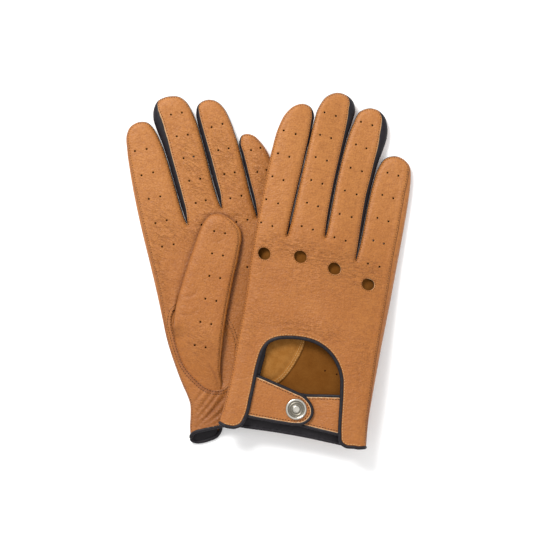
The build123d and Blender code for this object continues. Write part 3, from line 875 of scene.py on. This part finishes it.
TAN = tan_leather()
NAVY = noisy("navy_lambskin", (0.0085, 0.0065, 0.0090), 0.5,
             [((3, 3), 0.4, 0.8, (0.019, 0.0155, 0.019), 0.6)],
             [((0.5, 3, 0.6), 0.05), ((1.8, 2), 0.09)], specular=0.22)
SUEDE = noisy("suede_inside", (0.128, 0.043, 0.005), 0.95,
              [((7, 3), 0.35, 0.75, (0.165, 0.062, 0.010), 0.8),
               ((0.9, 3, 0.7), 0.45, 0.75, (0.080, 0.025, 0.003), 0.5)],
              [((0.35, 3, 0.7), 0.07)], sheen=0.03, specular=0.08)
GOLD = noisy("golden_suede", (0.25, 0.098, 0.017), 0.95,
             [((5, 3), 0.35, 0.75, (0.34, 0.152, 0.036), 0.8),
              ((0.8, 3, 0.7), 0.45, 0.75, (0.16, 0.060, 0.009), 0.6)],
             [((0.35, 3, 0.7), 0.07)], sheen=0.05, specular=0.1)
EDGE = noisy("cut_leather_edge", (0.44, 0.26, 0.125), 0.8,
             [((0.7, 2), 0.4, 0.7, (0.62, 0.43, 0.26), 0.8)], [((0.3, 2), 0.05)])
NICKEL = noisy("bright_nickel", (0.50, 0.475, 0.42), 0.27,
               [((1.1, 3), 0.45, 0.8, (0.34, 0.32, 0.28), 0.5)], [((0.8, 2), 0.012)],
               metallic=1.0, on_metal=True)
# Painted shade: a near-black colour for the rims of perforations, the cracks of sewn edges and the palm dots
# that stand for holes.
HOLE_AND_SEAM_SHADE = noisy("painted_shade_in_holes_and_seams", (0.022, 0.006, 0.002), 0.95,
              [((0.3, 2), 0.4, 0.7, (0.040, 0.011, 0.003), 0.7)], [], specular=0.0)
RECESS = noisy("nickel_recess", (0.17, 0.155, 0.125), 0.42,
               [((0.9, 2), 0.4, 0.7, (0.25, 0.23, 0.19), 0.7)], [((0.35, 2), 0.02)],
               metallic=1.0, on_metal=True)
DARK_THREAD = thread("dark_thread", (0.040, 0.018, 0.010), (0.07, 0.032, 0.018))
TAN_THREAD = thread("tan_thread", (0.50, 0.29, 0.12), (0.62, 0.40, 0.19))
for name, node in frame["nodes"].items():
    if "snap" in name:
        for item in node.material_slots:
            item.material = NICKEL


# ------------------------------------------------------------------ outlines
for glove in (right, left):
    curves = [smooth([(*point, plain_side)[:3] for point in run]) for run in glove.silhouette]
    whole = np.vstack([c[:-1] for c in curves[:-1]] + [curves[-1]])
    glove.outline = whole[:, :2]
    glove.inward = normals_2d(glove.outline)
    glove.side_up = np.clip(whole[:, 2], 0.3, None)
    glove.side_down = np.clip(3.0 - whole[:, 2], 0.5, 2.2)
    ends = np.cumsum([0] + [len(c) - 1 for c in curves])
    glove.tips = [int(a + np.argmax(glove.outline[a:b, 1])) for a, b in zip(ends, ends[1:])]
    glove.ring = smooth(opening[glove.side], closed=True)
    glove.ring_out = -normals_2d(glove.ring, closed=True)

thumb_curve = smooth([(*point, plain_thumb)[:3] for point in thumb_sewn + thumb_free], closed=True, step=1.0)
thumb_outline = thumb_curve[:, :2]
thumb_width = np.clip(thumb_curve[:, 2], 0.3, None)
thumb_inward = normals_2d(thumb_outline, closed=True)
thumb_seam = thumb_outline + thumb_inward * thumb_width[:, None]
thumb_edge = closed_row(thumb_outline)
turn_back = int(np.argmin(np.linalg.norm(thumb_edge - np.array(thumb_sewn[-1][:2]), axis=1)))
thumb_edge_sewn, thumb_edge_free = thumb_edge[:turn_back + 1], thumb_edge[turn_back:-2]
thumb_along = np.array([math.sin(thumb_lean), math.cos(thumb_lean)])
thumb_area = ((-47, 23), (22, 146))
thumb_move = ("thumb", np.array(thumb_hinge) - thumb_along * thumb_bend,
              np.array(thumb_hinge) + thumb_along * thumb_bend)
strap_move = ("strap", (-31.5, 19.0), (-24.0, 19.0))


# ------------------------------------------------------------------ pieces
def finish(piece, glove, node=None, body="glove", moving=None):
    """Hides the CAD part that the piece stands for and hangs the piece on the body it rides on; a piece that
    moves between bodies is only baked where it stands.
    """
    if node:
        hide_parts(f"{glove.side}_{node}")
    if moving:
        other, start, end = moving
        ends = place(glove, [start, end], 0.0)
        ends[:, 2] = ends[0, 2]
        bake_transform(piece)
    else:
        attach(piece, f"{glove.side}_{body}")


def leather_piece(glove, name, node, skin, plan, materials, slot="tan_leather", moving=None, **marks):
    """A skin as a piece; the plan and marks of its outer face hold for its inner face too."""
    verts, faces, kinds = skin
    marks = {title: np.concatenate([values, values]) for title, values in marks.items()}
    piece = make_object(f"{glove.side}_{name}_leather", verts, faces, materials, kinds,
                        np.concatenate([plan, plan]), **marks)
    finish(piece, glove, node, moving=moving)


def hole_rows(rows, rng):
    """Paired perforations down each finger."""
    loops = []
    for x0, y0, x1, y1, count, across in rows:
        for i in range(count):
            t = i / (count - 1)
            for side in (-1, 1):
                x = x0 + (x1 - x0) * t + side * across / 2 + rng.uniform(-.25, .25)
                y = y0 + (y1 - y0) * t - side * 0.25 + rng.uniform(-.3, .3)
                loops.append(circle(x, y, perforation))
    return loops


def thumb_perforations():
    """Paired perforations down the thumb, in two rows that bow a little."""
    x0, y0, x1, y1, count = thumb_holes
    turn = math.radians(27)
    across = np.array([math.cos(turn), -math.sin(turn)])
    loops = []
    for i in range(count):
        t = i / (count - 1)
        middle = np.array([x0 + (x1 - x0) * t, y0 + (y1 - y0) * t]) + (2.2 * math.sin(math.pi * t), 0)
        loops += [circle(*(middle + across * side * 3.8), perforation) for side in (-1, 1)]
    return loops


def on_rims(plan, loops):
    """Whether each plan point stands on the rim of a perforation."""
    marked = np.zeros(len(plan), bool)
    for x, y in (loop.mean(axis=0) for loop in loops):
        marked |= (np.abs(plan[:, 0] - x) < near_hole) & (np.abs(plan[:, 1] - y) < near_hole)
    return marked


def make_panel(glove, face):
    """The outer hand on one face, with its perforations, knuckle holes or thumb opening."""
    up = faces_up(glove, face)
    edge = seam(glove, face)
    cuff = cuff_line(glove, face)
    below = np.vstack([cuff, [(80, cuff[-1, 1]), (80, -60), (-80, -60), (-80, cuff[0, 1])]])
    holes = hole_rows(finger_holes[glove.side, face], random.Random(11 if face == "back" else 12))
    dots = []       # palm perforations painted as dark discs of shade, not cut through, where the palm faces down
    if face == "back":
        holes += [circle(x, y, knuckle_hole, 40, knuckle_squash, tilt) for x, y, tilt in glove.knuckles]
    else:
        holes.append(glove.ring)
        (holes if up else dots).extend(circle(x, y, perforation) for x, y in palm_dots)
    verts, tris = triangulate([edge, cuff], holes + dots, spacing_of(up), ((-56, -14), (59, 237)),
                              [edge, cuff[::-1]])
    folds, relief, mask = face_relief(glove, face, verts)
    heights = surface(glove, face, verts, relief=relief)
    # painted shade: darker in the folds' valleys; on the palm also a shadow along the thumb's edge and shade
    # towards the wrist
    dark = fold_shade(folds)
    if face == "palm":
        dark = np.maximum(dark, 0.95 * np.exp(-(distance(verts, thumb_edge)[0] / 1.7)**2))
        dark = np.maximum(dark, 0.5 * np.exp(-((verts[:, 1] - 10) / 13)**2))
    tris = cut(verts, tris, edge, [below] + holes)
    world, tris, plan, dark, mask = sheet(glove, verts, tris, heights, up, dark, mask)
    gap, along = distance(plan, edge)
    on_seam = gap < on_line
    # at the hand's sides the seam's rim is set in and painted dark, as are the perforations' rims: painted
    # shade
    by_side = on_seam & ((along * len(edge) < glove.tips[0]) | (along * len(edge) > glove.tips[-1]))
    small = [loop for loop in holes if np.ptp(loop[:, 0]) < 2]
    skin, faces, kinds = thicken(world, tris, leather, 0.75 * on_seam - 0.35 * by_side,
                                 on_rims(plan, small) | by_side)
    # the palm dots' faces take the painted shade of a hole
    centre = plan[tris].mean(axis=1)
    for loop in dots:
        for i in np.nonzero(inside(centre, loop))[0]:
            kinds[i] = kinds[i + len(tris)] = 3
    leather_piece(glove, face, face + "_panel", (skin, faces, kinds), plan, [TAN, SUEDE, EDGE, HOLE_AND_SEAM_SHADE],
                  shade=dark, crinkle=mask, lay=wrinkle_lay(glove, plan))


def tucked(line, inward, width, fraction, tuck, top, drop, early):
    """One line of side leather: its plan, how deep it goes under the face, and how far in it is."""
    away = (width + tuck) * fraction
    sink = top + drop * np.clip((away - width + early) / 0.6, 0, 1)
    return line + inward * away[:, None], sink * np.clip(away / 0.5, 0, 1), away


def make_strips(glove):
    """Side leather from the upper seam round the edge to the lower seam, one piece per gap."""
    upper, lower = ("back", "palm") if glove.back_up else ("palm", "back")
    last = len(glove.outline) - 1
    cuts = [0] + glove.tips + [last]
    steps = np.linspace(1, 0, 9)**1.8
    for name, a, b in zip(strips, cuts, cuts[1:]):
        pick = np.arange(a, b + 1)
        if a == 0:
            pick = pick[glove.outline[pick, 1] > glove.window[0][1]]
        if b == last:
            pick = pick[glove.outline[pick, 1] > glove.window[-1][1]]
        rings, plans, dark = [], [], []
        for face, widths, fractions in ((upper, glove.side_up, steps),
                                        (lower, glove.side_down, steps[::-1][1:])):
            width = widths[pick]
            for fraction in fractions:
                plan, sink, away = tucked(glove.outline[pick], glove.inward[pick], width, fraction,
                                          1.4, 0.4, 0.75, 0.35)
                rings.append(place(glove, plan, surface(glove, face, plan, -sink)))
                plans.append(plan)
                # painted shade where the strip tucks under the face's edge, in the seam's crack
                dark.append(np.clip((away - width + 0.9) / 0.5, 0, 1))
        plan = np.stack(plans, axis=1).reshape(-1, 2)
        skin, faces, kinds = thicken(*ribbon(rings), side_leather)
        # inside the cuff the strips are lined with the dark leather, partly a lining and partly painted
        # shade inside the cuff's mouth
        kinds = [3 if kind and plan[face[0] % len(plan), 1] < 12 else kind
                 for kind, face in zip(kinds, faces)]
        tan = name.endswith("strip")
        materials, slot = ([TAN, SUEDE, EDGE, NAVY], "tan_leather") if tan else ([NAVY], "navy_leather")
        leather_piece(glove, name, name, (skin, faces, kinds), plan, materials, slot,
                      shade=np.stack(dark, axis=1).ravel())


def facing(glove, face, line, reach):
    """A dark strip sewn inside the cuff, from its edge upwards."""
    rings = []
    first, last = glove.outline[:60], glove.outline[-60:][::-1]
    for f in np.linspace(-0.12, 1, 9):
        plan = line + (0, f * reach)
        low = np.interp(plan[:, 1], first[:, 1], first[:, 0]) + 1.5
        high = np.interp(plan[:, 1], last[:, 1], last[:, 0]) - 1.5
        plan[:, 0] = np.clip(plan[:, 0], low, high)
        relief = face_relief(glove, face, plan)[1]
        rings.append(place(glove, plan, surface(glove, face, plan, -leather - 0.15, relief)))
    verts, tris = ribbon(rings)
    return thicken(verts, tris[:, ::-1] if faces_up(glove, face) else tris, facing_leather)[:2]


def welt(glove, line):
    """A dark strip that hangs from the cut-out's index side down to the palm: partly a lining, partly
    painted shade for the deep shade inside the glove there.
    """
    y = np.linspace(30, 62.5, 60)
    line = line[:len(line) // 2]
    x = np.interp(y, line[:, 1], line[:, 0])
    reach = 4.6 * np.clip((63.5 - y) / 16, 0, 1)**0.7
    rings = []
    for f in np.linspace(0, 1, 7):
        plan = np.column_stack([x - 1.0 + (reach + 1.0) * f, y])
        wave = 0.3 * np.sin(y * 0.9) * f
        rings.append(place(glove, plan, lift(glove, 7.6 - 1.8 * f + wave)))
    verts, tris = ribbon(rings)
    return thicken(verts, tris[:, ::-1] if glove.back_up else tris, facing_leather)[:2]


def make_bindings(glove):
    """Folded bindings along the cuff and cut-out, with the facings and the welt sewn in under them."""
    for face in ("back", "palm"):
        line = cuff_line(glove, face)
        count = np.arange(len(line))
        from_end = np.minimum(count, count[::-1]) * curve_step
        shift = (binding_width / 2 - 0.1 if face == "back" else 0.3) * np.clip(from_end / 5, 0, 1)
        path = line + normals_2d(line) * shift[:, None]
        relief = face_relief(glove, face, line)[1]
        heights = surface(glove, face, path, -leather / 2, relief)
        gather = 0.10 * np.sin(count * 1.7) * np.sin(count * 0.37)
        world = place(glove, path, heights + gather)
        world[:, 2] = np.maximum(world[:, 2], (binding_height / 2 + floor_gap) * MM)
        parts = Bundle()
        parts.add(*sweep(world, binding_width / 2, binding_height / 2, taper=True))
        if face == "palm":
            parts.add(*facing(glove, face, line, 8.0))
        else:
            parts.add(*welt(glove, line))
            if not glove.back_up:
                # the lobe's facing darkens the inside of the open cuff: partly a lining, partly painted
                # shade
                lobe = line[:int(np.argmax(line[:, 0] > -32.9))]
                parts.add(*facing(glove, face, lobe, 16.0))
        piece = parts.build(f"{glove.side}_{face}_binding_leather", NAVY)
        finish(piece, glove, face + "_binding")


def make_thumb_front(glove):
    """The thumb's outer face."""
    up = not glove.back_up
    holes = thumb_perforations()
    seam_row = closed_row(thumb_seam)
    verts, tris = triangulate([], [thumb_seam] + holes, spacing_of(up), thumb_area, [seam_row])
    folds = crease_relief(verts, thumb_creases)
    mask = wrinkle_mask(verts, thumb_wrinkled)
    relief = folds + soft_relief(verts, 31.0, 0.8) + wrinkle_relief(wrinkle_lay(glove, verts), mask, 5.0)
    level, _, full = thumb_levels(verts)
    d, _ = distance(verts, thumb_edge)
    level = level + relief * np.clip(d / 4, 0, 1) * np.clip(full / 3, 0, 1)
    heights = surface(glove, "palm", verts, level)
    # painted shade: darker in the folds' valleys and along the thumb's rolled edge
    dark = np.maximum(fold_shade(folds), 0.6 * np.clip(1.2 - d, 0, 1))
    tris = cut(verts, tris, thumb_seam, holes)
    world, tris, plan, dark, mask = sheet(glove, verts, tris, heights, up, dark, mask)
    width = closed_row(thumb_width)
    where = distance(plan, thumb_edge)[1] * (len(width) - 1)
    width[-1] = width[-2]
    wide = np.interp(where, np.arange(len(width)), width) > 0.6
    # where its rear shows, the sewn rim is painted dark: painted shade in the seam's crack
    lip = np.where((distance(plan, seam_row)[0] < on_line) & wide, 0.6, 0)
    skin = thicken(world, tris, leather * 0.8, lip, on_rims(plan, holes) | (lip > 0))
    leather_piece(glove, "thumb_front", "thumb_front", skin, plan, [TAN, SUEDE, TAN, HOLE_AND_SEAM_SHADE],
                  moving=thumb_move, shade=dark, crinkle=mask, lay=wrinkle_lay(glove, plan))


def make_thumb_rear(glove):
    """The thumb's rear: a strip round its edge and the underside."""
    up = not glove.back_up
    rings, plans = [], []
    for fraction in np.linspace(1, 0, 8)**1.6:
        plan, sink, _ = tucked(thumb_outline, thumb_inward, thumb_width, fraction, 1.3, 0.35, 0.7, 0.3)
        rings.append(closed_row(thumb_place(glove, plan, thumb_levels(plan)[0] - sink)))
        plans.append(closed_row(plan))
    band, band_tris = ribbon(rings)
    if not up:
        band_tris = band_tris[:, ::-1]
    verts, tris = triangulate([], [thumb_outline], spacing_of(up) * 1.4, thumb_area, [thumb_edge],
                              (0.1, 0.35, 0.8, 1.6))
    heights = surface(glove, "palm", verts, thumb_levels(verts)[1])
    under, tris, plan = sheet(glove, verts, cut(verts, tris, thumb_outline), heights, not up)
    verts, tris, plan = weld(np.vstack([band, under]), np.vstack([band_tris, tris + len(band)]),
                             np.vstack([np.stack(plans, axis=1).reshape(-1, 2), plan]))
    leather_piece(glove, "thumb_rear", "thumb_gusset", thicken(verts, tris, leather * 0.6), plan,
                  [TAN, SUEDE, TAN], moving=thumb_move)


def make_thumb_leaf(glove):
    """The leaf set into the palm's thumb opening."""
    up = not glove.back_up
    lap = glove.ring + glove.ring_out * 3.2
    first = glove.outline[:150]
    lap[:, 0] = np.maximum(lap[:, 0], np.interp(lap[:, 1], first[:, 1], first[:, 0]) + 1.8)
    rim = closed_row(glove.ring)
    verts, tris = triangulate([], [lap, glove.ring], spacing_of(up) * 1.15, ((-50, 20), (0, 94)), [rim])
    d, _ = distance(verts, rim)
    beyond = ~inside(verts, glove.ring)
    valley = np.clip(d / 4.0, 0, 1) * 1.3
    level = np.where(beyond, -0.75 - 0.35 * np.clip(d / 0.4, 0, 1),
                     -0.75 + 0.3 * np.clip(d / 0.5, 0, 1) - valley)
    level = level + soft_relief(verts, 44.0, 0.6) * np.clip(d / 4, 0, 1) * ~beyond
    heights = surface(glove, "palm", verts, level)
    world, tris, plan = sheet(glove, verts, cut(verts, tris, lap), heights, up)
    leather_piece(glove, "thumb_leaf", "thumb_root", thicken(world, tris, leather * 0.8), plan,
                  [TAN, GOLD, EDGE])


def pale_border(kinds, centre, line, width):
    """Paints the cut-edge colour on the outer faces beside a line: partly the leather's pale cut edge,
    partly a painted highlight where the edge rolls under the binding.
    """
    near = (centre > line.min(axis=0) - width).all(axis=1) & (centre < line.max(axis=0) + width).all(axis=1)
    index = np.nonzero(near)[0]
    for i, gap in zip(index, distance(centre[index], line)[0]):
        if gap < width:
            kinds[i] = 2


def make_strap_end(glove, end, line, w, slope, moving=None):
    """A leather sheet with a folded binding along its free edge. Gives the row of its stitches."""
    up = glove.back_up
    curve = smooth(line)
    side = normals_2d(curve)
    inset = curve + side * (strap_binding * 0.55)
    hole = circle(*snap_plan, 1.6, 16)
    verts, tris = triangulate([inset], [hole], spacing_of(up), ((-38, 2), (42, 37)), [inset])
    from_snap = np.linalg.norm(verts - snap_plan, axis=1)
    relief = soft_relief(verts, 61.0 + w, 0.35) * np.clip((from_snap - 8) / 6, 0, 1)
    heights = lift(glove, w + relief + slope(verts))
    world, tris, plan = sheet(glove, verts, cut(verts, tris, inset, [hole]), heights, up)
    skin, faces, kinds = thicken(world, tris, leather)
    pale_border(kinds, plan[tris].mean(axis=1), inset, 1.3)
    leather_piece(glove, f"strap_{end}", f"strap_{end}", (skin, faces, kinds), plan, [TAN, SUEDE, EDGE],
                  moving=moving)
    path = curve + side * (strap_binding * 0.5)
    world = place(glove, path, lift(glove, w - leather / 2 + slope(path)))
    verts, faces = sweep(world, strap_binding / 2, 0.82)
    piece = make_object(f"{glove.side}_{end}_binding_leather", verts, faces, [NAVY])
    finish(piece, glove, f"{end}_binding", moving=moving)
    row = (curve + side * (strap_binding + 1.1))[6:-6]
    return place(glove, row, lift(glove, w + 0.1 + slope(row)))


def make_cap(glove):
    """The snap's cap, turned from its profile. Its recessed ring has a finish of its own."""
    count = 64
    angle = np.arange(count) * 2 * np.pi / count
    rings = []
    for r, w in cap_profile:
        plan = np.column_stack([snap_plan[0] + r * np.cos(angle), snap_plan[1] + r * np.sin(angle)])
        points = place(glove, plan, 0.0)
        points[:, 2] = place(glove, [snap_plan], lift(glove, w))[0, 2]
        rings.append(points)
    faces = tube_faces(len(cap_profile), count)
    if not glove.back_up:
        faces = [face[::-1] for face in faces]
    low, high = recess_ring
    kinds = [1 if low < r < high else 0 for r, _ in cap_profile[:-1] for _ in range(count)] + [0, 0]
    piece = make_object(glove.side + "_snap_cap_turned", np.vstack(rings), faces, [NICKEL, RECESS], kinds)
    finish(piece, glove, "snap_cap", "strap")


def on_face(bundle, glove, face, row, size):
    """A row of stitches lying on a face of the hand; lower faces have every second one."""
    up = faces_up(glove, face)
    relief = face_relief(glove, face, row)[1]
    world = place(glove, row, surface(glove, face, row, 0.03, relief))
    stitch_row(bundle, world, 1 if up else -1, size if up else (2 * size[0], *size[1:]))


def make_stitches(glove, flap_row, tab_row):
    """All the thread that shows, as four pieces."""
    seams, pale, thumb, flap = Bundle(), Bundle(), Bundle(), Bundle()
    for face in ("back", "palm"):
        row = seam(glove, face, 0.72)
        on_face(seams, glove, face, row[row[:, 1] > 4], seam_stitch)
        cuff = cuff_line(glove, face)
        on_face(pale, glove, face, (cuff - normals_2d(cuff) * 0.6)[4:-4], edge_stitch)
    for x, y, tilt in glove.knuckles:
        ring = circle(x, y, 5.2, 60, knuckle_squash, tilt)
        on_face(seams, glove, "back", closed_row(ring), knuckle_stitch)
    for gap in (0.8, 2.7):
        on_face(seams, glove, "palm", closed_row(glove.ring + glove.ring_out * gap), ring_stitch)
    stitch_row(seams, tab_row, glove.out, strap_stitch)
    for gap in (0.7, 2.3):
        row = closed_row(glove.ring + glove.ring_out * gap)
        world = place(glove, row, surface(glove, "palm", row, -1.1 - leather * 0.8 - 0.05))
        stitch_row(pale, world, glove.out, inner_stitch)
    row = (thumb_seam + thumb_inward * 0.7)[int(len(thumb_seam) * .56):int(len(thumb_seam) * .97)]
    level = (thumb_levels(row)[0]
             + soft_relief(row, 31.0, 0.8) * np.clip(distance(row, thumb_edge)[0] / 4, 0, 1))
    stitch_row(thumb, thumb_place(glove, row, level + 0.03), -glove.out, thumb_stitch)
    stitch_row(flap, flap_row, glove.out, strap_stitch)
    for bundle, name, material, moving in (
            (seams, "seam", DARK_THREAD, None), (pale, "edge", TAN_THREAD, None),
            (thumb, "thumb", DARK_THREAD, thumb_move), (flap, "flap", DARK_THREAD, strap_move)):
        finish(bundle.build(f"{glove.side}_{name}_stitches", material), glove, moving=moving)


for glove in (right, left):
    make_panel(glove, "back")
    make_panel(glove, "palm")
    make_strips(glove)
    make_bindings(glove)
    make_thumb_front(glove)
    make_thumb_rear(glove)
    make_thumb_leaf(glove)
    flap_row = make_strap_end(glove, "flap", flap_line, flap_depth, no_slope, strap_move)
    tab_row = make_strap_end(glove, "tab", tab_line, tab_depth, tab_slope)
    make_cap(glove)
    make_stitches(glove, flap_row, tab_row)


# ------------------------------------------------------------------ stage, light and camera
def set_inputs(node, values):
    for name, value in values.items():
        node.inputs[name].default_value = value


scene = bpy.context.scene
floor_mesh = bpy.data.meshes.new("floor")
floor_mesh.from_pydata([(-3, -3, 0), (3, -3, 0), (3, 3, 0), (-3, 3, 0)], [], [(0, 1, 2, 3)])
floor = bpy.data.objects.new("floor", floor_mesh)
scene.collection.objects.link(floor)
paper = bpy.data.materials.new("studio_paper")
paper.use_nodes = True
set_inputs(paper.node_tree.nodes["Principled BSDF"], {
    "Base Color": (0.93, 0.93, 0.93, 1), "Roughness": 0.9,
    "Emission Color": (1, 1, 1, 1), "Emission Strength": 0.08})
floor_mesh.materials.append(paper)

world = bpy.data.worlds.new("studio")
world.use_nodes = True
set_inputs(world.node_tree.nodes["Background"], {"Color": (1, 1, 1, 1), "Strength": 0.84})
scene.world = world


def area_light(name, position, size, power):
    """A square light that shines on the origin."""
    data = bpy.data.lights.new(name, "AREA")
    data.shape = "SQUARE"
    data.size = size
    data.energy = power
    obj = bpy.data.objects.new(name, data)
    obj.location = position
    obj.rotation_euler = (-Vector(position)).to_track_quat("-Z", "Y").to_euler()
    scene.collection.objects.link(obj)


area_light("key", (-0.6, 0.95, 1.35), 0.6, 29)
area_light("fill", (0.5, -0.4, 1.8), 1.6, 4)

sensor = 36
camera_height = 2.0
view_width = 0.3795
camera_data = bpy.data.cameras.new("camera")
camera_data.sensor_width = sensor
camera_data.lens = sensor * camera_height / view_width
camera = bpy.data.objects.new("camera", camera_data)
camera.location = (0.0049, -0.0028, camera_height)
scene.collection.objects.link(camera)
scene.camera = camera
scene.view_settings.view_transform = "Standard"
